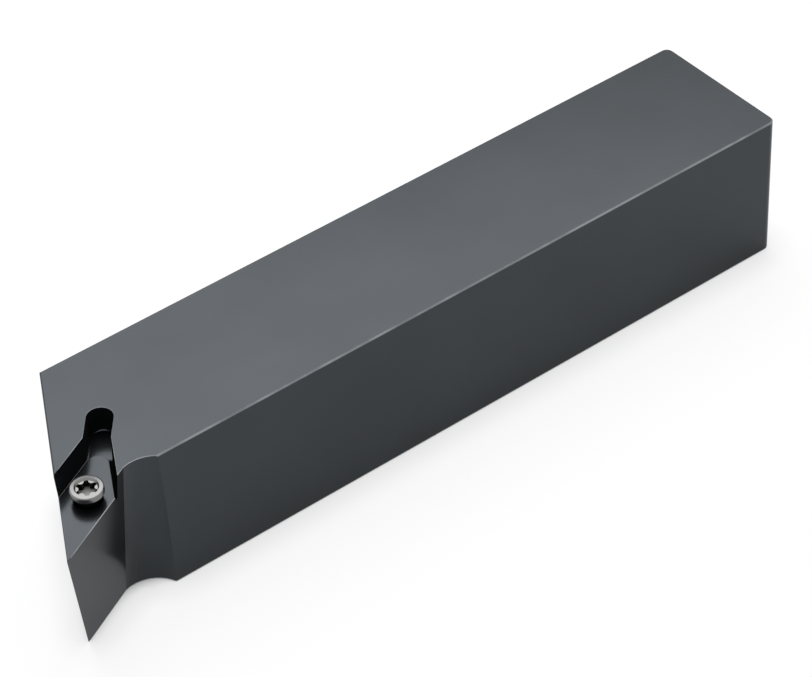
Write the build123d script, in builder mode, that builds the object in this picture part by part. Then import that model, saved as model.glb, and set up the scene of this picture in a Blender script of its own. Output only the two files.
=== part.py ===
from build123d import *
import math
import os

# Turning tool holder: square shank, relieved head with an insert pocket, and its clamp screw.
# Frame: +X from the rear end to the cutting tip, +Y towards the cutting side, +Z up from the base.
# The origin is the middle of the underside of the parallel shank, ahead of which the head begins.

# Shank
shank_width = 32.0
shank_height = 32.0
parallel_length = 144.0
edge_break = 0.3
fine_edge_break = 0.12
rear_corner_radius = 1.7

# Head: overall length and reach to the seat tip, how the two edges run and lean towards the base
tool_length = 170.5
tip_reach = 39.5
main_edge_angle = 27.5
insert_corner = 35.0
flank_relief = 5.5
end_relief = 2.9

# Pocket: depth is the insert thickness, distances are taken from the clamp screw axis
insert_thickness = 4.76
wall_distance = 5.55
wall_draft = 5.0
screw_to_flank = 4.30
screw_to_end = 5.10

# Raised seat: gaps to the two walls, height of the step and radius of the nose
seat_gap_main = 0.15
seat_gap_end = 0.50
seat_step = 0.75
seat_nose_radius = 2.2

# Relief slot for the rear corner of the insert, placed along and across its own direction
slot_width = 4.95
slot_angle = 51.0
slot_setback = 15.8
slot_offset = 1.0
slot_floor_radius = 0.35

# Scoop that runs the flank out into the side of the shank: how far its round dips past the
# flank's plane sets the crease between the two
scoop_radius = 6.7
scoop_setback = 18.8
scoop_dip = 0.12

# Tapped hole, drawn at the thread's outer diameter
thread_diameter = 4.0
hole_depth = 14.0
hole_mouth_break = 0.7
drill_point_angle = 118.0

# Clamp screw
thread_clearance = 0.08
screw_length = 12.5
screw_tip_break = 0.5
head_diameter = 6.2
head_height = 2.9
head_rim = 1.2
head_edge_radius = 0.3
head_cone_angle = 60.0
recess_diameter = 4.5
recess_depth = 0.35
socket_depth = 1.8
socket_lobes = 6
socket_across = 3.9
socket_root = 2.8
socket_groove_diameter = 1.15
socket_lobe_radius = 0.22
socket_turn = 30.0

# Levels and sides
top_z = shank_height
seat_z = top_z - insert_thickness
recess_z = seat_z - seat_step
rear_x = -parallel_length / 2
far_y = -shank_width / 2
near_y = shank_width / 2

# Directions in plan: along the flank and the end face, and outwards from each
main_dir = Vector(1, 0, 0).rotate(Axis.Z, main_edge_angle)
end_dir = main_dir.rotate(Axis.Z, insert_corner)
main_out = main_dir.rotate(Axis.Z, 90)
end_out = end_dir.rotate(Axis.Z, -90)
corner_sine = math.sin(math.radians(insert_corner))

# Seat tip, and the clamp screw axis set back from it by the distances to flank and end face
tip = Vector(rear_x + tool_length, far_y + tip_reach, seat_z)
screw_axis = tip - (end_dir * screw_to_flank + main_dir * screw_to_end) / corner_sine


def pocket_point(from_flank, from_end):
    """Point in plan by its outward distances from the screw axis towards flank and end face."""
    point = screw_axis + (end_dir * from_flank + main_dir * from_end) / corner_sine
    return (point.X, point.Y)


# Oblique directions: both faces lean inwards towards the base
flank_axis = Vector(0, 0, 1) + main_out * math.tan(math.radians(flank_relief))
end_axis = Vector(0, 0, 1) + end_out * math.tan(math.radians(end_relief))
flank_plane = Plane(origin=tip, x_dir=main_dir, z_dir=flank_axis)
end_plane = Plane(origin=tip, x_dir=end_dir, z_dir=end_axis)
beyond = 2 * shank_height
open_side = 2 * screw_to_end

# Foot of the drafted walls at seat level, and the two ends of the relief slot
wall_base = wall_distance - insert_thickness * math.tan(math.radians(wall_draft))
slot_dir = Vector(1, 0, 0).rotate(Axis.Z, slot_angle)
slot_end = screw_axis - slot_dir * slot_setback + slot_dir.rotate(Axis.Z, 90) * slot_offset
slot_length = slot_setback / 2
slot_middle = slot_end + slot_dir * (slot_length / 2)

# Turned profiles are drawn in this upright plane through the screw axis, heights from the seat
screw_line = Axis(screw_axis, (0, 0, 1))
screw_frame = Plane(origin=screw_axis, x_dir=(1, 0, 0), z_dir=(0, -1, 0))
hole_radius = thread_diameter / 2
point_length = hole_radius / math.tan(math.radians(drill_point_angle / 2))


def outside_edges(face):
    """Edges of the top face along the shank, round the rear end and along the end face."""
    edges = face.edges()
    rear = edges.filter_by_position(Axis.X, rear_x, rear_x + rear_corner_radius)
    end = edges.filter_by(Axis(tip, end_dir)).sort_by(Axis.X)[-1:]
    return edges.filter_by(Axis.X) + rear + end


# Pocket cutter: a prism whose two wall faces close in from the top face downwards
corner_cut = 0.65 * slot_width - wall_distance

with BuildPart() as pocket_tool:
    with BuildSketch(Plane.XY.offset(top_z)):
        with BuildLine():
            Polyline(
                pocket_point(-wall_distance, open_side),
                pocket_point(-wall_distance, corner_cut),
                pocket_point(corner_cut, -wall_distance),
                pocket_point(open_side, -wall_distance),
                pocket_point(open_side, open_side),
                close=True,
            )
        make_face()
    extrude(amount=recess_z - top_z)
    upright = pocket_tool.faces().filter_by(Axis.Z, reverse=True)
    walls = upright.sort_by_distance(screw_axis)[:2]
    draft(walls, Plane.XY.offset(top_z), -wall_draft)

# Slot cutter, its floor edge rounded like the corner of an end mill
with BuildPart() as slot_tool:
    with BuildSketch(Plane.XY.offset(top_z)):
        with Locations((slot_middle.X, slot_middle.Y)):
            SlotCenterToCenter(slot_length, slot_width, rotation=slot_angle)
    extrude(amount=recess_z - top_z)
    fillet(slot_tool.faces().sort_by(Axis.Z)[0].edges(), slot_floor_radius)

with BuildPart() as holder_body:
    # Blank: shank with its side carried out along the flank, left over-long at the head
    allowance = scoop_radius / 3
    flank_start = tip + main_out * allowance
    neck = flank_start - main_dir * ((flank_start.Y - near_y) / main_dir.Y)
    corner = flank_start + main_dir * (allowance / main_dir.X)
    with BuildSketch(Plane.XY):
        with BuildLine():
            Polyline(
                (rear_x, far_y),
                (corner.X, far_y),
                (corner.X, corner.Y),
                (neck.X, near_y),
                (rear_x, near_y),
                close=True,
            )
        make_face()
    extrude(amount=shank_height)
    fillet(holder_body.edges().filter_by(Axis.Z).group_by(Axis.X)[0], rear_corner_radius)

    # Pocket and the relief slot into it, sunk to the groove level below the seat
    add(pocket_tool.part, mode=Mode.SUBTRACT)
    add(slot_tool.part, mode=Mode.SUBTRACT)

    # Raised seat with a rounded nose, standing between grooves along both walls
    with BuildSketch(Plane.XY.offset(recess_z)) as seat_outline:
        with BuildLine():
            Polyline(
                pocket_point(seat_gap_main - wall_base, open_side),
                pocket_point(seat_gap_main - wall_base, seat_gap_end - wall_base),
                pocket_point(open_side, seat_gap_end - wall_base),
                pocket_point(open_side, open_side),
                close=True,
            )
        make_face()
        nose = seat_outline.vertices().sort_by_distance((slot_end.X, slot_end.Y, 0))[0]
        fillet(nose, seat_nose_radius)
    extrude(amount=seat_step)

    # Flank and scoop: one oblique cut, the scoop's round meeting the flank in a slight crease
    with BuildSketch(flank_plane):
        with Locations((-scoop_setback, scoop_radius - scoop_dip)):
            Circle(scoop_radius)
        with Locations((-scoop_setback, 0)):
            Rectangle(beyond, 2 * scoop_radius, align=(Align.MIN, Align.MIN))
            Rectangle(2 * scoop_radius, scoop_radius, align=(Align.CENTER, Align.MAX), mode=Mode.SUBTRACT)
    extrude(amount=beyond, both=True, mode=Mode.SUBTRACT)

    # End face: oblique cut right across the head
    with BuildSketch(end_plane):
        Rectangle(2 * beyond, beyond, align=(Align.CENTER, Align.MAX))
    extrude(amount=beyond, both=True, mode=Mode.SUBTRACT)

    # Tapped hole for the clamp screw: broken mouth and drill point
    with BuildSketch(screw_frame):
        with BuildLine():
            Polyline(
                (0, seat_step),
                (hole_radius + hole_mouth_break + seat_step, seat_step),
                (hole_radius, -hole_mouth_break),
                (hole_radius, -hole_depth),
                (0, -hole_depth - point_length),
                close=True,
            )
        make_face()
    revolve(axis=screw_line, mode=Mode.SUBTRACT)

    # Edge breaks: wide chamfers round the outside, fine rounds at the pocket mouth and scoop
    top = holder_body.faces().sort_by(Axis.Z)[-1]
    chamfer(outside_edges(top), edge_break)
    chamfer(holder_body.faces().sort_by(Axis.Z)[0].edges(), edge_break)
    top = holder_body.faces().sort_by(Axis.Z)[-1]
    fillet((top.edges() - outside_edges(top)).sort_by(Axis.X), fine_edge_break)

    # Fine chamfer round the seat
    at_seat = holder_body.faces().filter_by(Axis.Z).filter_by_position(Axis.Z, seat_z, seat_z)
    chamfer(at_seat.sort_by(SortBy.AREA)[-1].outer_wire().edges(), fine_edge_break)

# Clamp screw, standing in the hole with its head above the empty seat
head_top = seat_z + head_height
cone_slope = math.tan(math.radians(head_cone_angle / 2))
shank_radius = hole_radius - thread_clearance
head_radius = head_diameter / 2
cone_top = head_height - head_rim
cone_foot = cone_top - (head_radius - shank_radius) / cone_slope
screw_end = head_height - screw_length

with BuildPart() as clamp_screw:
    # Head, cone and shank turned in one
    with BuildSketch(screw_frame):
        with BuildLine():
            Polyline(
                (0, head_height),
                (head_radius, head_height),
                (head_radius, cone_top),
                (shank_radius, cone_foot),
                (shank_radius, screw_end + screw_tip_break),
                (shank_radius - screw_tip_break, screw_end),
                (0, screw_end),
                close=True,
            )
        make_face()
    revolve(axis=screw_line)
    rim_edges = clamp_screw.edges().filter_by(GeomType.CIRCLE).sort_by(SortBy.RADIUS)[-2:]
    fillet(rim_edges.sort_by(Axis.Z)[-1], head_edge_radius)

    # Dished entry of the socket
    with BuildSketch(screw_frame):
        with BuildLine():
            Polyline(
                (0, head_height),
                (recess_diameter / 2, head_height),
                (socket_across / 2, head_height - recess_depth),
                (0, head_height - recess_depth),
                close=True,
            )
        make_face()
    revolve(axis=screw_line, mode=Mode.SUBTRACT)

    # Six-lobe socket: a round with six grooves left standing between the lobes
    groove_centre = (socket_root + socket_groove_diameter) / 2
    with BuildSketch(Plane(origin=(screw_axis.X, screw_axis.Y, head_top))) as socket:
        Circle(socket_across / 2)
        with PolarLocations(groove_centre, socket_lobes, start_angle=socket_turn):
            Circle(socket_groove_diameter / 2, mode=Mode.SUBTRACT)
        fillet(socket.vertices(), socket_lobe_radius)
    extrude(amount=-socket_depth, mode=Mode.SUBTRACT)

os.makedirs("parts", exist_ok=True)
holder_body.part.label = "holder_body"
clamp_screw.part.label = "clamp_screw"
export_step(holder_body.part, "parts/holder_body.step")
export_step(clamp_screw.part, "parts/clamp_screw.step")
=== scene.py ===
import math

import bpy
from bpy.props import FloatProperty, FloatVectorProperty, IntProperty, PointerProperty
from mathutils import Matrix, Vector


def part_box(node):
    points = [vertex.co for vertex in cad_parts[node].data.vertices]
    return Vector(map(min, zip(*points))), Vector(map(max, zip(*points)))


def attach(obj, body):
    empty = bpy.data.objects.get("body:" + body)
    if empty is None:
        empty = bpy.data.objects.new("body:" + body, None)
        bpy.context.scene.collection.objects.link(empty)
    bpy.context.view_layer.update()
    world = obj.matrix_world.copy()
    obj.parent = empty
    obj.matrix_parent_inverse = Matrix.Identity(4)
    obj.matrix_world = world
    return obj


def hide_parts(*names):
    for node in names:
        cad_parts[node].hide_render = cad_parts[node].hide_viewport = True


bl_info = {
    "name": "Turning Tool Holder",
    "version": (1, 0, 0),
    "blender": (4, 5, 0),
    "location": "View3D > Sidebar > Tool Holder",
    "description": "Dresses a turning tool holder and its clamp screw and sets them on a stage",
    "category": "Add Mesh",
}

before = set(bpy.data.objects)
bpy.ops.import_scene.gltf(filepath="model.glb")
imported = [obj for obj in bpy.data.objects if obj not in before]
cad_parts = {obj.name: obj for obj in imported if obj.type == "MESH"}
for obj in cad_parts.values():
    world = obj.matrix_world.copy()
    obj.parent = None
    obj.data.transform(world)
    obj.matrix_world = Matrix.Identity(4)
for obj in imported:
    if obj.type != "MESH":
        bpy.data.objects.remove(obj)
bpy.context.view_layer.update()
SCREW_LOW, SCREW_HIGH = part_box("clamp_screw")

MM = 0.001
MERGE_DISTANCE = 0.001 * MM

# Axis of the clamp screw, and the directions in plan that the end face and the flank look to
AXIS = Vector(((SCREW_LOW.x + SCREW_HIGH.x) / 2, (SCREW_LOW.y + SCREW_HIGH.y) / 2, 0))
END_TURN = math.radians(-27.5)
FLANK_TURN = math.radians(117.5)
END_OUT = (math.cos(END_TURN), math.sin(END_TURN), 0)
FLANK_OUT = (math.cos(FLANK_TURN), math.sin(FLANK_TURN), 0)

# Levels of the holder's top face, its seat and the top of the screw
TOP_Z = 32 * MM
SEAT_DEPTH = 4.76 * MM
SEAT_Z = TOP_Z - SEAT_DEPTH
HEAD_Z = SCREW_HIGH.z

# Places on the two pieces. Each row names an output of the group "Place round the screw", and
# says where along it the mask is nought and where it is full
# Painted highlight: the edges round the pocket get a brighter steel
POCKET_HIGHLIGHT_PLACES = (("Distance", 14.5 * MM, 12.5 * MM),)
# Where the worn edges with their painted highlight may lie
WORN_HIGHLIT_PLACES = (
    ("Height", SEAT_Z - 0.2 * MM, SEAT_Z - 0.14 * MM),
    ("Distance", 3.1 * MM, 3.4 * MM),
    ("Endwards", 4.6 * MM, 4.3 * MM),
)
# Painted shade: the wall along the end face and the groove at its foot are made near-black
END_WALL_AND_GROOVE = (
    ("Endwards", -6.2 * MM, -6.1 * MM),
    ("Endwards", -4.58 * MM, -4.66 * MM),
    ("Height", SEAT_Z - 0.9 * MM, SEAT_Z - 0.8 * MM),
    ("Height", TOP_Z - 0.1 * MM, TOP_Z - 0.14 * MM),
    ("Distance", 11 * MM, 10.5 * MM),
)
BELOW_SEAT = (("Height", SEAT_Z - 0.1 * MM, SEAT_Z - 0.2 * MM),)
# Painted shade: the screw's hole and its mouth are made near-black
SCREW_HOLE = (
    ("Distance", 2.74 * MM, 2.69 * MM),
    ("Height", SEAT_Z - 15.6 * MM, SEAT_Z - 15.4 * MM),
    ("Height", SEAT_Z + 0.05 * MM, SEAT_Z),
)
# Painted highlight: a light line along the seat's edge by the far wall
SEAT_RIM_HIGHLIGHT = (
    ("Flankwards", -4.80 * MM, -4.84 * MM),
    ("Height", SEAT_Z - 0.14 * MM, SEAT_Z - 0.12 * MM),
    ("Height", SEAT_Z + 0.1 * MM, SEAT_Z + 0.05 * MM),
)
# Painted light: the socket's floor is made lighter where light falls into it
SOCKET_FLOOR = (
    ("Distance", 2.0 * MM, 1.9 * MM),
    ("Height", HEAD_Z - 1.72 * MM, HEAD_Z - 1.77 * MM),
)
# Painted shade: the cone and neck under the head are made near-black, in the head's shadow
UNDER_HEAD = (
    ("Height", HEAD_Z - 1.16 * MM, HEAD_Z - 1.22 * MM),
    ("Height", HEAD_Z - 4.9 * MM, HEAD_Z - 4.5 * MM),
)
OUTSIDE_SOCKET = (("Distance", 2.0 * MM, 2.1 * MM),)
BELOW_SOCKET = (("Height", HEAD_Z - 1.84 * MM, HEAD_Z - 1.90 * MM),)

# The same for the parts of a normal: upward edge breaks, worn and given a painted highlight, and
# level faces
WORN_HIGHLIT_NORMALS = (("Z", 0.22, 0.36), ("Z", 0.975, 0.93), ("X", -0.6, -0.45), ("Y", -0.70, -0.65))
LEVEL_FACES = (("Z", 0.8, 0.95),)
UPWARD_FACES = (("Z", 0.4, 0.6),)
UPRIGHT_FACES = (0.6, 0.3)
FACING_END = (0.8, 0.9)

# Shares of open sky between which a wall takes its painted shade, and between which the floor's
# glow falls as a painted contact shadow beside the object and where the object encloses it
WALL_SKY = (0.84, 0.56)
BESIDE_SKY = (0.5, 1)
ENCLOSED_SKY = (0.50, 0.27)
SKY_SAMPLES = 8

# Stretches of a noise that are spread out to the full contrast
GAP_STRETCH = (0.6, 0.35)
CLOUD_STRETCH = (0.3, 0.7)
GRAIN_STRETCH = (0.25, 0.75)
RING_STRETCH = (0.3, 0.7)

# Share of the clouds in the oxide's tone, and scale and depth of its specks against its grain
CLOUD_SHARE = 0.75
SPECK_SCALE = 0.35
SPECK_DEPTH = 0.8

FLOOR_BOUNCE = (0.20, 0.20, 0.21, 1)


# Sizes and colours that a user would change


class HolderFinishSettings(bpy.types.PropertyGroup):
    """Black oxide finish of the holder body."""

    oxide_light: FloatVectorProperty(
        name="Oxide light", description="Lighter tone of the black oxide",
        subtype="COLOR", size=3, min=0, max=1, default=(0.072, 0.079, 0.0855),
    )
    oxide_dark: FloatVectorProperty(
        name="Oxide dark", description="Darker tone of the black oxide",
        subtype="COLOR", size=3, min=0, max=1, default=(0.063, 0.069, 0.0745),
    )
    # Bare steel on the upward edges: wear, and a painted highlight, as only edges that lean up get
    # it
    bare_highlit_edge: FloatVectorProperty(
        name="Bare highlit edge", description="Steel showing where the long edges are worn",
        subtype="COLOR", size=3, min=0, max=1, default=(0.25, 0.263, 0.272),
    )
    # Painted highlight: brighter steel on the fine edges round the pocket
    pocket_edge_highlight: FloatVectorProperty(
        name="Pocket edge highlight", description="Steel showing along the fine edges round the pocket",
        subtype="COLOR", size=3, min=0, max=1, default=(0.37, 0.385, 0.395),
    )
    # Painted highlight: a dull light line put along the seat's edge by the far wall
    rim_highlight: FloatVectorProperty(
        name="Rim highlight", description="Dull light line along the seat's edge by the far wall",
        subtype="COLOR", size=3, min=0, max=1, default=(0.75, 0.77, 0.78),
    )
    # Painted shade: a dark tone put on upright walls close to another face, where shade falls
    recess_shade_tone: FloatVectorProperty(
        name="Recess tone", description="Tone of upright walls close to another face",
        subtype="COLOR", size=3, min=0, max=1, default=(0.045, 0.047, 0.049),
    )
    # Painted shade: near-black put on the hole and on the wall along the end face, where no light
    # falls
    shut_shade_tone: FloatVectorProperty(
        name="Shut shade tone", description="Tone of the hole, and of the wall along the end face",
        subtype="COLOR", size=3, min=0, max=1, default=(0.008, 0.009, 0.010),
    )
    recess_shade_reach: FloatProperty(
        name="Recess reach", description="How near another face must be for a wall to be dark",
        subtype="DISTANCE", unit="LENGTH", min=0.0005, default=10 * MM,
    )
    patch_size: FloatProperty(
        name="Patch size", description="Size of the patches that break up the worn edges",
        subtype="DISTANCE", unit="LENGTH", min=0.0005, default=6 * MM,
    )
    cloud_size: FloatProperty(
        name="Cloud size", description="Size of the soft patches in the oxide",
        subtype="DISTANCE", unit="LENGTH", min=0.001, default=24 * MM,
    )
    grain_size: FloatProperty(
        name="Grain size", description="Size of the finest grain in the surface",
        subtype="DISTANCE", unit="LENGTH", min=0.00005, default=0.22 * MM,
    )
    metal_share: FloatProperty(
        name="Metal share", description="How much the oxide shines like metal",
        subtype="FACTOR", min=0, max=1, default=0.72,
    )
    roughness: FloatProperty(
        name="Roughness", description="Middle roughness of the oxide",
        subtype="FACTOR", min=0, max=1, default=0.21,
    )
    roughness_spread: FloatProperty(
        name="Roughness spread", description="How far the grain moves the roughness each way",
        subtype="FACTOR", min=0, max=1, default=0.015,
    )


class ClampScrewSettings(bpy.types.PropertyGroup):
    """Shape and finish of the clamp screw."""

    steel_colour: FloatVectorProperty(
        name="Steel colour", description="Colour of the plain steel",
        subtype="COLOR", size=3, min=0, max=1, default=(0.215, 0.214, 0.212),
    )
    # Painted light: a lighter colour on the socket's floor, where light falls in; its matt
    # roughness is the finish itself
    socket_floor_lit_colour: FloatVectorProperty(
        name="Socket floor lit colour", description="Colour of the matt floor of the socket",
        subtype="COLOR", size=3, min=0, max=1, default=(0.34, 0.335, 0.33),
    )
    # Painted shade: near-black put on the socket's upright walls, where shade falls
    socket_wall_shade: FloatVectorProperty(
        name="Socket wall shade", description="Colour of the socket's upright walls",
        subtype="COLOR", size=3, min=0, max=1, default=(0.008, 0.008, 0.008),
    )
    # Painted shade: near-black put on the cone and neck under the head, where its shadow falls
    neck_shade_colour: FloatVectorProperty(
        name="Neck shade colour", description="Colour of the cone and neck under the head",
        subtype="COLOR", size=3, min=0, max=1, default=(0.022, 0.022, 0.023),
    )
    socket_shade_reach: FloatProperty(
        name="Socket reach", description="How near another face must be for a wall to be dark",
        subtype="DISTANCE", unit="LENGTH", min=0.0005, default=2.5 * MM,
    )
    ring_size: FloatProperty(
        name="Ring size", description="Width of the fine rings left by turning",
        subtype="DISTANCE", unit="LENGTH", min=0.00005, default=MM / 9,
    )
    roughness_low: FloatProperty(
        name="Lowest roughness", description="Roughness of the brightest rings",
        subtype="FACTOR", min=0, max=1, default=0.22,
    )
    roughness_high: FloatProperty(
        name="Highest roughness", description="Roughness of the dullest rings",
        subtype="FACTOR", min=0, max=1, default=0.34,
    )
    socket_roughness: FloatProperty(
        name="Socket roughness", description="Roughness added on the socket's floor",
        subtype="FACTOR", min=0, max=1, default=0.4,
    )
    thread_pitch: FloatProperty(
        name="Thread pitch", description="Travel of one turn",
        subtype="DISTANCE", unit="LENGTH", min=0.0003, default=0.7 * MM,
    )
    thread_start: FloatProperty(
        name="Thread start", description="Height of the first turn above the screw's lower end",
        subtype="DISTANCE", unit="LENGTH", min=0, default=0.7 * MM,
    )
    core_radius: FloatProperty(
        name="Core radius", description="Radius at the foot of the thread",
        subtype="DISTANCE", unit="LENGTH", min=0.0005, default=1.50 * MM,
    )
    crest_radius: FloatProperty(
        name="Crest radius", description="Radius over the thread",
        subtype="DISTANCE", unit="LENGTH", min=0.0006, default=1.92 * MM,
    )
    crown: FloatProperty(
        name="Crown", description="How far the head's top falls towards its rim",
        subtype="DISTANCE", unit="LENGTH", min=0, default=0.10 * MM,
    )
    undercut: FloatProperty(
        name="Undercut", description="Height of the plain neck under the head's cone",
        subtype="DISTANCE", unit="LENGTH", min=0, default=0.35 * MM,
    )
    thread_steps: IntProperty(
        name="Thread steps", description="Segments in one turn of the thread", min=12, default=48,
    )


class StageSettings(bpy.types.PropertyGroup):
    """Camera, floor, even light and lamp."""

    camera_place: FloatVectorProperty(
        name="Camera place", description="Where the camera stands",
        subtype="TRANSLATION", unit="LENGTH", size=3, default=(0.26511, 0.35855, 0.40019),
    )
    camera_turn: FloatVectorProperty(
        name="Camera turn", description="Tilt, roll and heading of the camera",
        subtype="EULER", unit="ROTATION", size=3,
        default=(math.radians(48.493), math.radians(2.4017), math.radians(142.2497)),
    )
    lens: FloatProperty(
        name="Lens", description="Focal length on a 36 mm sensor",
        subtype="DISTANCE_CAMERA", min=1, default=136.38,
    )
    floor_size: FloatProperty(
        name="Floor size", description="Width of the floor",
        subtype="DISTANCE", unit="LENGTH", min=1, default=6.0,
    )
    shadow_reach: FloatProperty(
        name="Shadow reach", description="How far the contact shadow reaches over the floor",
        subtype="DISTANCE", unit="LENGTH", min=0.0005, default=7 * MM,
    )
    ambient: FloatProperty(
        name="Ambient", description="Strength of the even light from all round",
        subtype="FACTOR", min=0, default=0.08,
    )
    ambient_colour: FloatVectorProperty(
        name="Ambient colour", description="Colour of the even light from all round",
        subtype="COLOR", size=3, min=0, max=1, default=(0.93, 0.97, 1.0),
    )
    lamp_place: FloatVectorProperty(
        name="Lamp place", description="Where the lamp hangs",
        subtype="TRANSLATION", unit="LENGTH", size=3, default=(-0.08, -0.28, 0.60),
    )
    lamp_target: FloatVectorProperty(
        name="Lamp target", description="Where the lamp points",
        subtype="TRANSLATION", unit="LENGTH", size=3, default=(0.07, 0.0, 0.03),
    )
    lamp_size: FloatProperty(
        name="Lamp size", description="Width of the square lamp",
        subtype="DISTANCE", unit="LENGTH", min=0.01, default=0.60,
    )
    lamp_power: FloatProperty(
        name="Lamp power", description="Power of the lamp", unit="POWER", min=0, default=2.17,
    )


# Shared node helpers


def add_node(tree, kind, place, **values):
    """New node of a kind at a place in the tree, with the given attributes set."""
    node = tree.nodes.new(kind)
    node.location = place
    for name, value in values.items():
        setattr(node, name, value)
    return node


def feed(tree, sockets, values):
    """Links each socket to the socket given for it, or sets it to the plain value given."""
    for socket, value in zip(sockets, values):
        if isinstance(value, bpy.types.NodeSocket):
            tree.links.new(value, socket)
        elif value is not None:
            socket.default_value = value


def feed_named(tree, node, values):
    """Feeds the inputs of a node that the values are named for."""
    feed(tree, [node.inputs[name] for name in values], values.values())


def math_node(tree, operation, place, first, second=None):
    """Result of a maths node."""
    node = add_node(tree, "ShaderNodeMath", place, operation=operation)
    feed(tree, node.inputs, (first, second))
    return node.outputs[0]


def vector_math(tree, operation, place, first, second=None):
    """Outputs Vector and Value of a vector maths node."""
    node = add_node(tree, "ShaderNodeVectorMath", place, operation=operation)
    feed(tree, node.inputs, (first, second))
    return node.outputs


def product(tree, place, values):
    """Product of several sockets."""
    total = values[0]
    for value in values[1:]:
        total = math_node(tree, "MULTIPLY", place, total, value)
    return total


def opposite(tree, place, mask):
    """One less a mask."""
    return math_node(tree, "SUBTRACT", place, 1.0, mask)


def remap(tree, value, place, low, high, to_low=0.0, to_high=1.0):
    """Value moved from one range to another and held inside it."""
    node = add_node(tree, "ShaderNodeMapRange", place)
    feed_named(tree, node, {
        "Value": value, "From Min": low, "From Max": high, "To Min": to_low, "To Max": to_high,
    })
    return node.outputs["Result"]


def within(tree, outputs, limits, place):
    """Mask that is full where the named outputs lie within every limit."""
    masks = [
        remap(tree, outputs[name], (place[0] - 200, place[1] - 180 * row), empty, full)
        for row, (name, empty, full) in enumerate(limits)
    ]
    return product(tree, place, masks)


def mix_colour(tree, place, factor, first, second):
    """Colour mix of two sockets or colours by a factor."""
    node = add_node(tree, "ShaderNodeMix", place, data_type="RGBA")
    colours = [
        value if isinstance(value, bpy.types.NodeSocket) else (*value, 1)
        for value in (first, second)
    ]
    feed(tree, (node.inputs[0], node.inputs[6], node.inputs[7]), (factor, *colours))
    return node.outputs[2]


def mix_shaders(tree, place, factor, first, second):
    """Mix of two shaders by a socket's value."""
    mix = add_node(tree, "ShaderNodeMixShader", place)
    feed(tree, mix.inputs, (factor, first, second))
    return mix.outputs[0]


def object_place(tree, place):
    """Place of the surface in the object's own coordinates."""
    return add_node(tree, "ShaderNodeTexCoord", place).outputs["Object"]


def surface_normal(tree, place):
    """Direction that the surface looks to."""
    return add_node(tree, "ShaderNodeNewGeometry", place).outputs["Normal"]


def split(tree, vector, place):
    """Outputs X, Y and Z of a vector."""
    parts = add_node(tree, "ShaderNodeSeparateXYZ", place)
    tree.links.new(vector, parts.inputs["Vector"])
    return parts.outputs


def open_sky(tree, place, reach, only_local=False):
    """Share of the sky over a spot that nothing within reach takes away."""
    sky = add_node(
        tree, "ShaderNodeAmbientOcclusion", place, samples=SKY_SAMPLES, only_local=only_local
    )
    feed_named(tree, sky, {"Distance": reach})
    return sky.outputs["AO"]


def noise(tree, place, vector, scale, detail):
    """Noise node on a vector, at a scale that is a socket or a number."""
    node = add_node(tree, "ShaderNodeTexNoise", place)
    feed_named(tree, node, {"Vector": vector, "Scale": scale, "Detail": detail})
    return node


def bumped_normal(tree, place, height, strength, depth):
    """Normal that a height makes uneven."""
    bump = add_node(tree, "ShaderNodeBump", place)
    feed_named(tree, bump, {"Height": height, "Strength": strength, "Distance": depth})
    return bump.outputs["Normal"]


# Shared node groups


def new_group(name, inputs, outputs):
    """Empty shader group with number inputs and their defaults, and number outputs."""
    group = bpy.data.node_groups.new(name, "ShaderNodeTree")
    for label, default in inputs:
        socket = group.interface.new_socket(label, in_out="INPUT", socket_type="NodeSocketFloat")
        socket.default_value = default
    for label in outputs:
        group.interface.new_socket(label, in_out="OUTPUT", socket_type="NodeSocketFloat")
    source = add_node(group, "NodeGroupInput", (-900, 0))
    sink = add_node(group, "NodeGroupOutput", (700, 0))
    return group, source.outputs, sink.inputs


def place_group(tree, name, place, **values):
    """Outputs of a shared group placed in a tree with its inputs set."""
    node = add_node(tree, "ShaderNodeGroup", place, node_tree=bpy.data.node_groups[name])
    for label, value in values.items():
        node.inputs[label.replace("_", " ")].default_value = value
    return node.outputs


def screw_place_group():
    """Distance from the screw's axis, height, and how far towards the end face and the flank."""
    group, _, out = new_group(
        "Place round the screw", (), ("Distance", "Height", "Endwards", "Flankwards")
    )
    mapping = add_node(group, "ShaderNodeMapping", (-450, 0))
    mapping.inputs["Location"].default_value = -AXIS
    group.links.new(object_place(group, (-650, 0)), mapping.inputs["Vector"])
    centred = mapping.outputs["Vector"]
    flat = vector_math(group, "MULTIPLY", (-200, 100), centred, (1, 1, 0))["Vector"]
    group.links.new(vector_math(group, "LENGTH", (0, 100), flat)["Value"], out["Distance"])
    group.links.new(split(group, centred, (-200, -150))["Z"], out["Height"])
    for label, outwards, row in (("Endwards", END_OUT, -300), ("Flankwards", FLANK_OUT, -450)):
        along = vector_math(group, "DOT_PRODUCT", (-200, row), centred, outwards)
        group.links.new(along["Value"], out[label])


def recess_shade_group():
    """Mask of upright walls that stand close to another face of the same piece, for painted shade.
    """
    group, given, out = new_group("Recess shade", (("Reach", 5 * MM),), ("Mask",))
    sky = open_sky(group, (-500, 150), given["Reach"], only_local=True)
    lean = split(group, surface_normal(group, (-700, -100)), (-500, -100))
    level = math_node(group, "ABSOLUTE", (-300, -100), lean["Z"])
    upright = remap(group, level, (-100, -100), *UPRIGHT_FACES)
    enclosed = remap(group, sky, (-100, 150), *WALL_SKY)
    group.links.new(product(group, (200, 50), (upright, enclosed)), out["Mask"])


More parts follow.
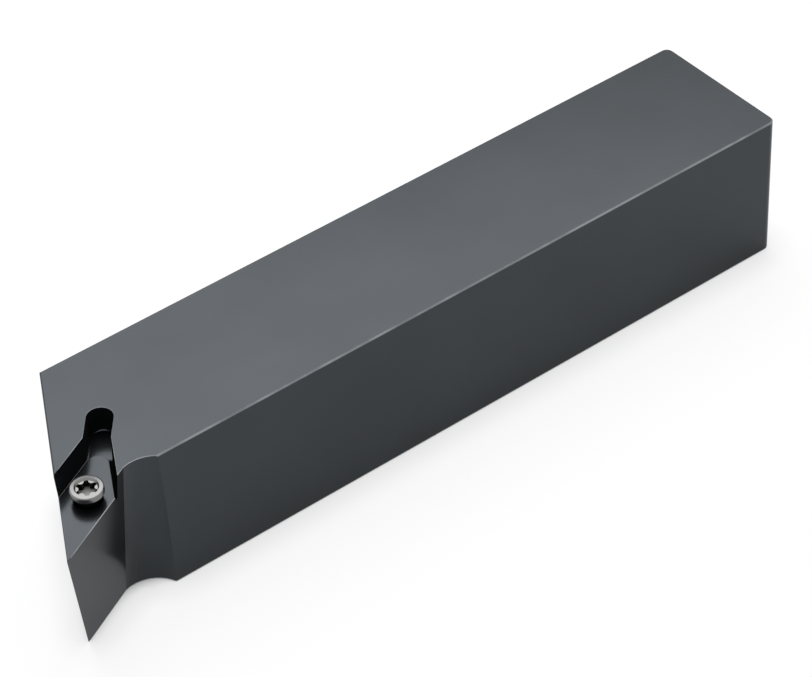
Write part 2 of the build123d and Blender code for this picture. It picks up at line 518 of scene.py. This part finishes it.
def worn_highlit_edges_group():
    """Mask of the edge breaks that face upwards, where the finish is rubbed and a highlight is
    painted, broken by noise.
    """
    group, given, out = new_group(
        "Worn and highlit edges", (("Patch scale", 150), ("Break-up", 0.35)), ("Mask",)
    )
    lean = split(group, surface_normal(group, (-850, 150)), (-650, 150))
    screw = place_group(group, "Place round the screw", (-650, 900))
    edge = within(group, lean, WORN_HIGHLIT_NORMALS, (-100, 400))
    there = within(group, screw, WORN_HIGHLIT_PLACES, (-100, 1200))
    place = object_place(group, (-650, -300))
    patches = noise(group, (-450, -250), place, given["Patch scale"], detail=4)
    gaps = remap(group, patches.outputs["Fac"], (-250, -250), *GAP_STRETCH)
    loss = product(group, (-50, -150), (gaps, given["Break-up"]))
    kept = opposite(group, (100, -100), loss)
    group.links.new(product(group, (300, 50), (edge, there, kept)), out["Mask"])


def oxide_tone_group():
    """Soft clouds and fine grain of an oxide finish, as a tone, a roughness mask and a height."""
    group, given, out = new_group(
        "Oxide tone", (("Cloud scale", 40), ("Grain scale", 3500)), ("Tone", "Grain", "Height")
    )
    place = object_place(group, (-850, 300))
    clouds = noise(group, (-600, 300), place, given["Cloud scale"], detail=4)
    clouds.inputs["Roughness"].default_value = 0.55
    grain = noise(group, (-600, 0), place, given["Grain scale"], detail=2)
    specks = add_node(group, "ShaderNodeTexVoronoi", (-600, -300), feature="SMOOTH_F1")
    speck_scale = math_node(group, "MULTIPLY", (-750, -300), given["Grain scale"], SPECK_SCALE)
    feed_named(group, specks, {"Vector": place, "Scale": speck_scale, "Smoothness": 0.6})
    broad = remap(group, clouds.outputs["Fac"], (-350, 300), *CLOUD_STRETCH)
    fine = remap(group, grain.outputs["Fac"], (-350, 0), *GRAIN_STRETCH)
    broad_part = math_node(group, "MULTIPLY", (-200, 300), broad, CLOUD_SHARE)
    fine_part = math_node(group, "MULTIPLY", (-200, 100), fine, 1 - CLOUD_SHARE)
    speck_part = math_node(
        group, "MULTIPLY", (-200, -300), specks.outputs["Distance"], SPECK_DEPTH
    )
    group.links.new(math_node(group, "ADD", (-50, 200), broad_part, fine_part), out["Tone"])
    group.links.new(fine, out["Grain"])
    group.links.new(math_node(group, "ADD", (-50, -200), fine, speck_part), out["Height"])


# Materials


def new_material(name):
    """Material with an empty tree but its output, whose Surface socket is handed back."""
    material = bpy.data.materials.new(name)
    material.use_nodes = True
    tree = material.node_tree
    tree.nodes.clear()
    output = add_node(tree, "ShaderNodeOutputMaterial", (900, 0))
    return material, tree, output.inputs["Surface"]


def metal_shader(tree, surface, colour, roughness, metallic, normal):
    """Shader fed by four sockets, with no gloss on the share that isn't metal."""
    shader = add_node(tree, "ShaderNodeBsdfPrincipled", (500, 0))
    feed_named(tree, shader, {
        "Base Color": colour, "Roughness": roughness, "Metallic": metallic, "Normal": normal,
    })
    shader.inputs["Specular IOR Level"].default_value = 0
    tree.links.new(shader.outputs["BSDF"], surface)


def shut_shade_places(tree, screw):
    """Mask of painted shade on the wall along the end face, the groove at its foot and the screw's
    hole.
    """
    normal = surface_normal(tree, (-1400, -1200))
    facing = vector_math(tree, "DOT_PRODUCT", (-1200, -1200), normal, END_OUT)["Value"]
    wall = remap(tree, facing, (-1000, -1200), *FACING_END)
    lean = split(tree, normal, (-1200, -1400))
    groove = product(tree, (-700, -1500), (
        within(tree, lean, LEVEL_FACES, (-900, -1400)),
        within(tree, screw, BELOW_SEAT, (-900, -1600)),
    ))
    side = product(tree, (-400, -1300), (
        math_node(tree, "MAXIMUM", (-600, -1300), wall, groove),
        within(tree, screw, END_WALL_AND_GROOVE, (-600, -1800)),
    ))
    hole = within(tree, screw, SCREW_HOLE, (-600, -2800))
    return math_node(tree, "MAXIMUM", (-200, -1400), side, hole)


def seat_rim_highlight(tree, screw):
    """Mask of the seat's edge along the far wall, where a light line is painted as a highlight."""
    lean = split(tree, surface_normal(tree, (-1400, 1200)), (-1200, 1200))
    return product(tree, (-600, 1200), (
        within(tree, screw, SEAT_RIM_HIGHLIGHT, (-800, 1800)),
        within(tree, lean, UPWARD_FACES, (-800, 1200)),
    ))


def blackened_steel(settings):
    """Black oxide on ground steel, rubbed bare with a painted highlight along its upward edges, and
    painted shade in its recesses.
    """
    material, tree, surface = new_material("blackened_steel")
    oxide = place_group(
        tree, "Oxide tone", (-600, 200),
        Cloud_scale=1 / settings.cloud_size, Grain_scale=1 / settings.grain_size,
    )
    # Wear and painted highlight: bare steel only on edge breaks that lean up
    worn = place_group(
        tree, "Worn and highlit edges", (-600, -150), Patch_scale=1 / settings.patch_size
    )["Mask"]
    walls = place_group(tree, "Recess shade", (-600, -400), Reach=settings.recess_shade_reach)["Mask"]
    screw = place_group(tree, "Place round the screw", (-900, 0))
    # Painted shade on the wall along the end face, the groove at its foot and the hole
    shut = shut_shade_places(tree, screw)
    # Painted highlight along the seat's rim, matt and not metal
    rim = seat_rim_highlight(tree, screw)
    # Painted shade in the recesses and shut places: a dark tone, with no metal and no gloss
    recess = math_node(tree, "MAXIMUM", (0, -500), walls, shut)

    # Painted highlight: the edges round the pocket are brighter
    pocket_highlight = within(tree, screw, POCKET_HIGHLIGHT_PLACES, (-400, 450))
    steel = mix_colour(tree, (-300, 450), pocket_highlight, settings.bare_highlit_edge, settings.pocket_edge_highlight)
    colour = mix_colour(tree, (-300, 250), oxide["Tone"], settings.oxide_dark, settings.oxide_light)
    colour = mix_colour(tree, (-50, 250), worn, colour, steel)
    colour = mix_colour(tree, (50, 400), rim, colour, settings.rim_highlight)
    colour = mix_colour(tree, (150, 250), recess, colour, settings.recess_shade_tone)
    colour = mix_colour(tree, (300, 400), shut, colour, settings.shut_shade_tone)

    smooth = settings.roughness - settings.roughness_spread
    matt = settings.roughness + settings.roughness_spread
    roughness = remap(tree, oxide["Grain"], (-300, 0), 0, 1, smooth, matt)
    metallic = product(tree, (150, -100), (
        remap(tree, worn, (-50, -50), 0, 1, settings.metal_share, 1.0),
        opposite(tree, (-50, -350), rim),
        opposite(tree, (-50, -200), recess),
    ))
    normal = bumped_normal(tree, (200, -250), oxide["Height"], strength=0.03, depth=0.02 * MM)
    metal_shader(tree, surface, colour, roughness, metallic, normal)
    return material


def screw_steel(settings):
    """Satin steel ringed round the axis, with painted light on the matt socket floor and painted
    shade.
    """
    material, tree, surface = new_material("screw_steel")
    screw = place_group(tree, "Place round the screw", (-800, 0))
    ring_place = add_node(tree, "ShaderNodeCombineXYZ", (-500, -150))
    feed(tree, ring_place.inputs, (screw["Distance"], screw["Height"]))
    rings = noise(
        tree, (-300, -150), ring_place.outputs["Vector"], 1 / settings.ring_size, detail=3
    ).outputs["Fac"]

    # Painted light on the socket's floor
    floor = within(tree, screw, SOCKET_FLOOR, (-250, 200))
    # Painted shade on the socket's upright walls
    walls = place_group(tree, "Recess shade", (-250, 450), Reach=settings.socket_shade_reach)["Mask"]
    off_socket = math_node(
        tree, "MAXIMUM", (0, 1050),
        within(tree, screw, OUTSIDE_SOCKET, (-200, 1000)),
        within(tree, screw, BELOW_SOCKET, (-200, 1200)),
    )
    # Painted shade on the cone and neck under the head, which also takes away their metal
    neck = product(tree, (150, 650), (within(tree, screw, UNDER_HEAD, (-200, 700)), off_socket))

    colour = mix_colour(
        tree, (0, 250), floor, settings.steel_colour, settings.socket_floor_lit_colour
    )
    colour = mix_colour(tree, (150, 350), walls, colour, settings.socket_wall_shade)
    colour = mix_colour(tree, (300, 400), neck, colour, settings.neck_shade_colour)
    satin = remap(
        tree, rings, (-50, 0), *RING_STRETCH, settings.roughness_low, settings.roughness_high
    )
    matt = math_node(tree, "MULTIPLY", (-50, 120), floor, settings.socket_roughness)
    roughness = math_node(tree, "ADD", (200, 50), satin, matt)
    metallic = opposite(tree, (300, 200), neck)
    normal = bumped_normal(tree, (200, -250), rings, strength=0.10, depth=0.01 * MM)
    metal_shader(tree, surface, colour, roughness, metallic, normal)
    return material


def rays_that_see(tree, place):
    """One where the camera, a gloss or a clear material looks, nought where light bounces."""
    path = add_node(tree, "ShaderNodeLightPath", place).outputs
    seen = math_node(
        tree, "MAXIMUM", (place[0] + 200, place[1]), path["Is Camera Ray"], path["Is Glossy Ray"]
    )
    return math_node(
        tree, "MAXIMUM", (place[0] + 400, place[1]), seen, path["Is Transmission Ray"]
    )


def lit_paper(tree, place, reach, grey, contact, hollow, strength):
    """Diffuse surface whose own glow falls by the object as a painted contact shadow, and further
    where it is enclosed.

    The glow has its full strength in the open, contact right beside an upright face, and hollow
    where the object stands round the spot.
    """
    x, y = place
    paper = add_node(tree, "ShaderNodeBsdfDiffuse", place)
    paper.inputs["Color"].default_value = (grey, grey, grey, 1)
    # Painted contact shadow: the glow falls with the share of open sky
    sky = open_sky(tree, (x - 400, y - 150), reach)
    beside = remap(tree, sky, (x - 200, y - 150), *BESIDE_SKY, contact, strength)
    enclosed = remap(tree, sky, (x - 200, y - 400), *ENCLOSED_SKY, 0, contact - hollow)
    glow = add_node(tree, "ShaderNodeEmission", (x, y - 150))
    level = math_node(tree, "SUBTRACT", (x - 50, y - 300), beside, enclosed)
    tree.links.new(level, glow.inputs["Strength"])
    both = add_node(tree, "ShaderNodeAddShader", (x + 250, y - 50))
    feed(tree, both.inputs, (paper.outputs[0], glow.outputs[0]))
    return both.outputs[0]


def stage_white(reach):
    """Floor that looks white with a soft, partly painted shadow, is greyer in glosses, and bounces
    little.
    """
    material, tree, surface = new_material("stage_white")
    path = add_node(tree, "ShaderNodeLightPath", (-200, 500))
    bounce = add_node(tree, "ShaderNodeBsdfDiffuse", (0, 300))
    bounce.inputs["Color"].default_value = FLOOR_BOUNCE
    seen = lit_paper(
        tree, (0, 150), reach, grey=0.30, contact=0.755, hollow=0.15, strength=0.895
    )
    mirrored = lit_paper(
        tree, (0, -250), reach, grey=0.95, contact=0.50, hollow=0.40, strength=0.61
    )
    looks = mix_shaders(tree, (480, 0), path.outputs["Is Glossy Ray"], seen, mirrored)
    sees = rays_that_see(tree, (-200, 700))
    tree.links.new(mix_shaders(tree, (700, 100), sees, bounce.outputs[0], looks), surface)
    return material


# Modelling helpers


def start_mesh(name, add, **values):
    """Primitive added with nothing else selected, left in edit mode."""
    bpy.ops.object.select_all(action="DESELECT")
    add(**values)
    piece = bpy.context.object
    piece.name = piece.data.name = name
    bpy.ops.object.mode_set(mode="EDIT")
    return piece


def pick(piece, kind, test):
    """Selects the vertices, or the edges whose ends both, pass a test on their place."""
    bpy.ops.mesh.select_mode(type=kind)
    bpy.ops.mesh.select_all(action="DESELECT")
    bpy.ops.object.mode_set(mode="OBJECT")
    mesh = piece.data
    passed = [test(piece.matrix_world @ vertex.co) for vertex in mesh.vertices]
    if kind == "VERT":
        mesh.vertices.foreach_set("select", passed)
    else:
        for edge in mesh.edges:
            edge.select = all(passed[end] for end in edge.vertices)
    bpy.ops.object.mode_set(mode="EDIT")


def bake_place():
    """Moves the active piece's place and turn into its mesh."""
    bpy.ops.object.mode_set(mode="OBJECT")
    bpy.ops.object.transform_apply(location=True, rotation=True, scale=True)


def from_axis(point):
    """Distance of a point from the clamp screw's axis."""
    return math.hypot(point.x - AXIS.x, point.y - AXIS.y)


# Operators, panel and main


class HOLDER_OT_finish_body(bpy.types.Operator):
    """Give the holder body its blackened steel"""

    bl_idname = "holder.finish_body"
    bl_label = "Finish Holder Body"

    def execute(self, context):
        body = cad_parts["holder_body"]
        steel = blackened_steel(context.scene.holder_finish)
        body.data.materials.clear()
        body.data.materials.append(steel)
        return {"FINISHED"}


class HOLDER_OT_add_clamp_screw(bpy.types.Operator):
    """Add the clamp screw with its thread"""

    bl_idname = "holder.add_clamp_screw"
    bl_label = "Add Clamp Screw"

    # The shank is what lies under the socket, within this share of the crest radius
    under_socket = HEAD_Z - 2.5 * MM
    shank_share = 1.02
    # The flat top of the head, and where its rim begins
    head_face = HEAD_Z - 0.06 * MM
    rim_radius = 2.5 * MM
    # Widths of the ridge at its foot and its crest, as shares of the pitch and of the foot
    foot_share = 0.86
    crest_share = 0.2
    # How deep the ridge stands in the core
    ridge_sunk = 0.05 * MM

    def execute(self, context):
        settings = context.scene.clamp_screw
        steel = screw_steel(settings)
        thread_top = self.add_head_and_core(settings, steel)
        self.add_thread(settings, steel, thread_top)
        return {"FINISHED"}

    def add_head_and_core(self, settings, steel):
        """Copy of the CAD screw with its shank drawn in; gives the level where that begins."""
        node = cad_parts["clamp_screw"]
        bpy.ops.object.select_all(action="DESELECT")
        node.select_set(True)
        bpy.context.view_layer.objects.active = node
        bpy.ops.object.duplicate()
        screw = bpy.context.object
        screw.name = screw.data.name = "clamp_screw_head_and_core"
        # The copy isn't a CAD node, so it drops the node's own marks and parent
        for key in list(screw.keys()):
            del screw[key]
        screw.parent = None

        bpy.ops.object.mode_set(mode="EDIT")
        bpy.ops.mesh.select_all(action="SELECT")
        bpy.ops.mesh.customdata_custom_splitnormals_clear()
        bpy.ops.mesh.remove_doubles(threshold=MERGE_DISTANCE)
        bpy.ops.object.mode_set(mode="OBJECT")
        cone_foot = max(
            vertex.co.z for vertex in screw.data.vertices
            if vertex.co.z < self.under_socket
            and from_axis(vertex.co) < settings.crest_radius * self.shank_share
        )
        thread_top = cone_foot - settings.undercut
        bpy.ops.object.mode_set(mode="EDIT")
        bpy.ops.mesh.select_all(action="SELECT")
        bpy.ops.mesh.bisect(plane_co=(AXIS.x, AXIS.y, thread_top), plane_no=(0, 0, 1))
        neck = thread_top + MERGE_DISTANCE
        pick(screw, "VERT", lambda point: point.z < neck)
        shrink = settings.core_radius / settings.crest_radius
        bpy.ops.transform.resize(
            value=(shrink, shrink, 1), center_override=(AXIS.x, AXIS.y, neck)
        )
        pick(
            screw, "VERT",
            lambda point: point.z > self.head_face and from_axis(point) > self.rim_radius,
        )
        bpy.ops.transform.translate(value=(0, 0, -settings.crown))
        bpy.ops.object.mode_set(mode="OBJECT")
        bpy.ops.object.shade_smooth_by_angle(angle=math.radians(28))
        screw.data.materials.clear()
        screw.data.materials.append(steel)
        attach(screw, "screw")
        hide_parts("clamp_screw")
        return thread_top

    def add_thread(self, settings, steel, thread_top):
        """Ridge that winds round the core, closed at both ends."""
        depth = settings.crest_radius - settings.core_radius
        pitch = settings.thread_pitch
        foot = SCREW_LOW.z + settings.thread_start
        middle = AXIS.x + settings.core_radius + (depth - self.ridge_sunk) / 2
        thread = start_mesh(
            "clamp_screw_thread", bpy.ops.mesh.primitive_plane_add, size=1,
            location=(middle, AXIS.y, foot), rotation=(math.radians(90), 0, 0),
        )
        bpy.ops.transform.resize(
            value=(depth + self.ridge_sunk, 1, self.foot_share * pitch),
            center_override=(middle, AXIS.y, foot),
        )
        pick(thread, "EDGE", lambda point: point.x > middle)
        bpy.ops.transform.resize(
            value=(1, 1, self.crest_share), center_override=(AXIS.x, AXIS.y, foot)
        )
        bake_place()
        bpy.context.scene.cursor.location = AXIS
        bpy.ops.object.origin_set(type="ORIGIN_CURSOR")

        winding = thread.modifiers.new("Thread", "SCREW")
        winding.axis = "Z"
        winding.angle = math.radians(360)
        winding.screw_offset = pitch
        winding.iterations = int((thread_top - foot) / pitch)
        winding.steps = winding.render_steps = settings.thread_steps
        bpy.ops.object.modifier_apply(modifier=winding.name)

        bpy.ops.object.mode_set(mode="EDIT")
        bpy.ops.mesh.select_all(action="SELECT")
        bpy.ops.mesh.remove_doubles(threshold=MERGE_DISTANCE)
        bpy.ops.mesh.select_all(action="SELECT")
        bpy.ops.mesh.fill_holes(sides=4)
        bpy.ops.mesh.select_all(action="SELECT")
        bpy.ops.mesh.normals_make_consistent(inside=False)
        bake_place()
        bpy.ops.object.shade_smooth_by_angle(angle=math.radians(30))
        thread.data.materials.append(steel)
        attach(thread, "screw")


class HOLDER_OT_add_stage(bpy.types.Operator):
    """Add the floor, the world, the lamp and the camera"""

    bl_idname = "holder.add_stage"
    bl_label = "Add Stage"

    def execute(self, context):
        settings = context.scene.stage_settings
        bpy.ops.object.select_all(action="DESELECT")
        bpy.ops.mesh.primitive_plane_add(size=settings.floor_size, location=(0, 0, 0))
        floor = context.object
        floor.name = "floor"
        floor.data.materials.append(stage_white(settings.shadow_reach))
        context.scene.world = self.studio_world(settings)
        self.add_lamp(context, settings)
        self.add_camera(context, settings)
        context.scene.view_settings.view_transform = "Standard"
        return {"FINISHED"}

    def studio_world(self, settings):
        """World that looks white and gives a weak even light."""
        world = bpy.data.worlds.new("studio")
        world.use_nodes = True
        tree = world.node_tree
        tree.nodes.clear()
        even = add_node(tree, "ShaderNodeBackground", (0, 150))
        even.inputs["Color"].default_value = (*settings.ambient_colour, 1)
        even.inputs["Strength"].default_value = settings.ambient
        white = add_node(tree, "ShaderNodeBackground", (0, 0))
        white.inputs["Color"].default_value = (1, 1, 1, 1)
        sees = rays_that_see(tree, (-500, 300))
        both = mix_shaders(tree, (300, 100), sees, even.outputs[0], white.outputs[0])
        output = add_node(tree, "ShaderNodeOutputWorld", (500, 100))
        tree.links.new(both, output.inputs["Surface"])
        return world

    def add_lamp(self, context, settings):
        """Broad lamp above and behind the holder."""
        bpy.ops.object.light_add(type="AREA", location=settings.lamp_place)
        lamp = context.object
        lamp.name = lamp.data.name = "back_lamp"
        lamp.data.size = settings.lamp_size
        lamp.data.energy = settings.lamp_power
        aim = Vector(settings.lamp_target) - Vector(settings.lamp_place)
        lamp.rotation_euler = aim.to_track_quat("-Z", "Y").to_euler()

    def add_camera(self, context, settings):
        """Camera at the photograph's angle."""
        bpy.ops.object.camera_add(location=settings.camera_place, rotation=settings.camera_turn)
        camera = context.object
        camera.name = camera.data.name = "photo_camera"
        camera.data.lens = settings.lens
        camera.data.clip_start = 0.01
        camera.data.clip_end = 50
        context.scene.camera = camera


class HOLDER_PT_panel(bpy.types.Panel):
    """Lists the steps that dress the tool holder"""

    bl_label = "Tool Holder"
    bl_idname = "HOLDER_PT_panel"
    bl_space_type = "VIEW_3D"
    bl_region_type = "UI"
    bl_category = "Tool Holder"

    def draw(self, context):
        for group in ("holder_finish", "clamp_screw", "stage_settings"):
            settings = getattr(context.scene, group)
            box = self.layout.box()
            for name in settings.__annotations__:
                box.prop(settings, name)
        for step in STEPS:
            self.layout.operator(step.bl_idname)


STEPS = (HOLDER_OT_finish_body, HOLDER_OT_add_clamp_screw, HOLDER_OT_add_stage)
SETTINGS = (HolderFinishSettings, ClampScrewSettings, StageSettings)


def register():
    for part in (*SETTINGS, *STEPS, HOLDER_PT_panel):
        bpy.utils.register_class(part)
    bpy.types.Scene.holder_finish = PointerProperty(type=HolderFinishSettings)
    bpy.types.Scene.clamp_screw = PointerProperty(type=ClampScrewSettings)
    bpy.types.Scene.stage_settings = PointerProperty(type=StageSettings)


def unregister():
    for name in ("holder_finish", "clamp_screw", "stage_settings"):
        delattr(bpy.types.Scene, name)
    for part in reversed((*SETTINGS, *STEPS, HOLDER_PT_panel)):
        bpy.utils.unregister_class(part)


def main():
    register()
    screw_place_group()
    recess_shade_group()
    worn_highlit_edges_group()
    oxide_tone_group()
    bpy.ops.holder.finish_body()
    bpy.ops.holder.add_clamp_screw()
    bpy.ops.holder.add_stage()


if __name__ == "__main__":
    main()
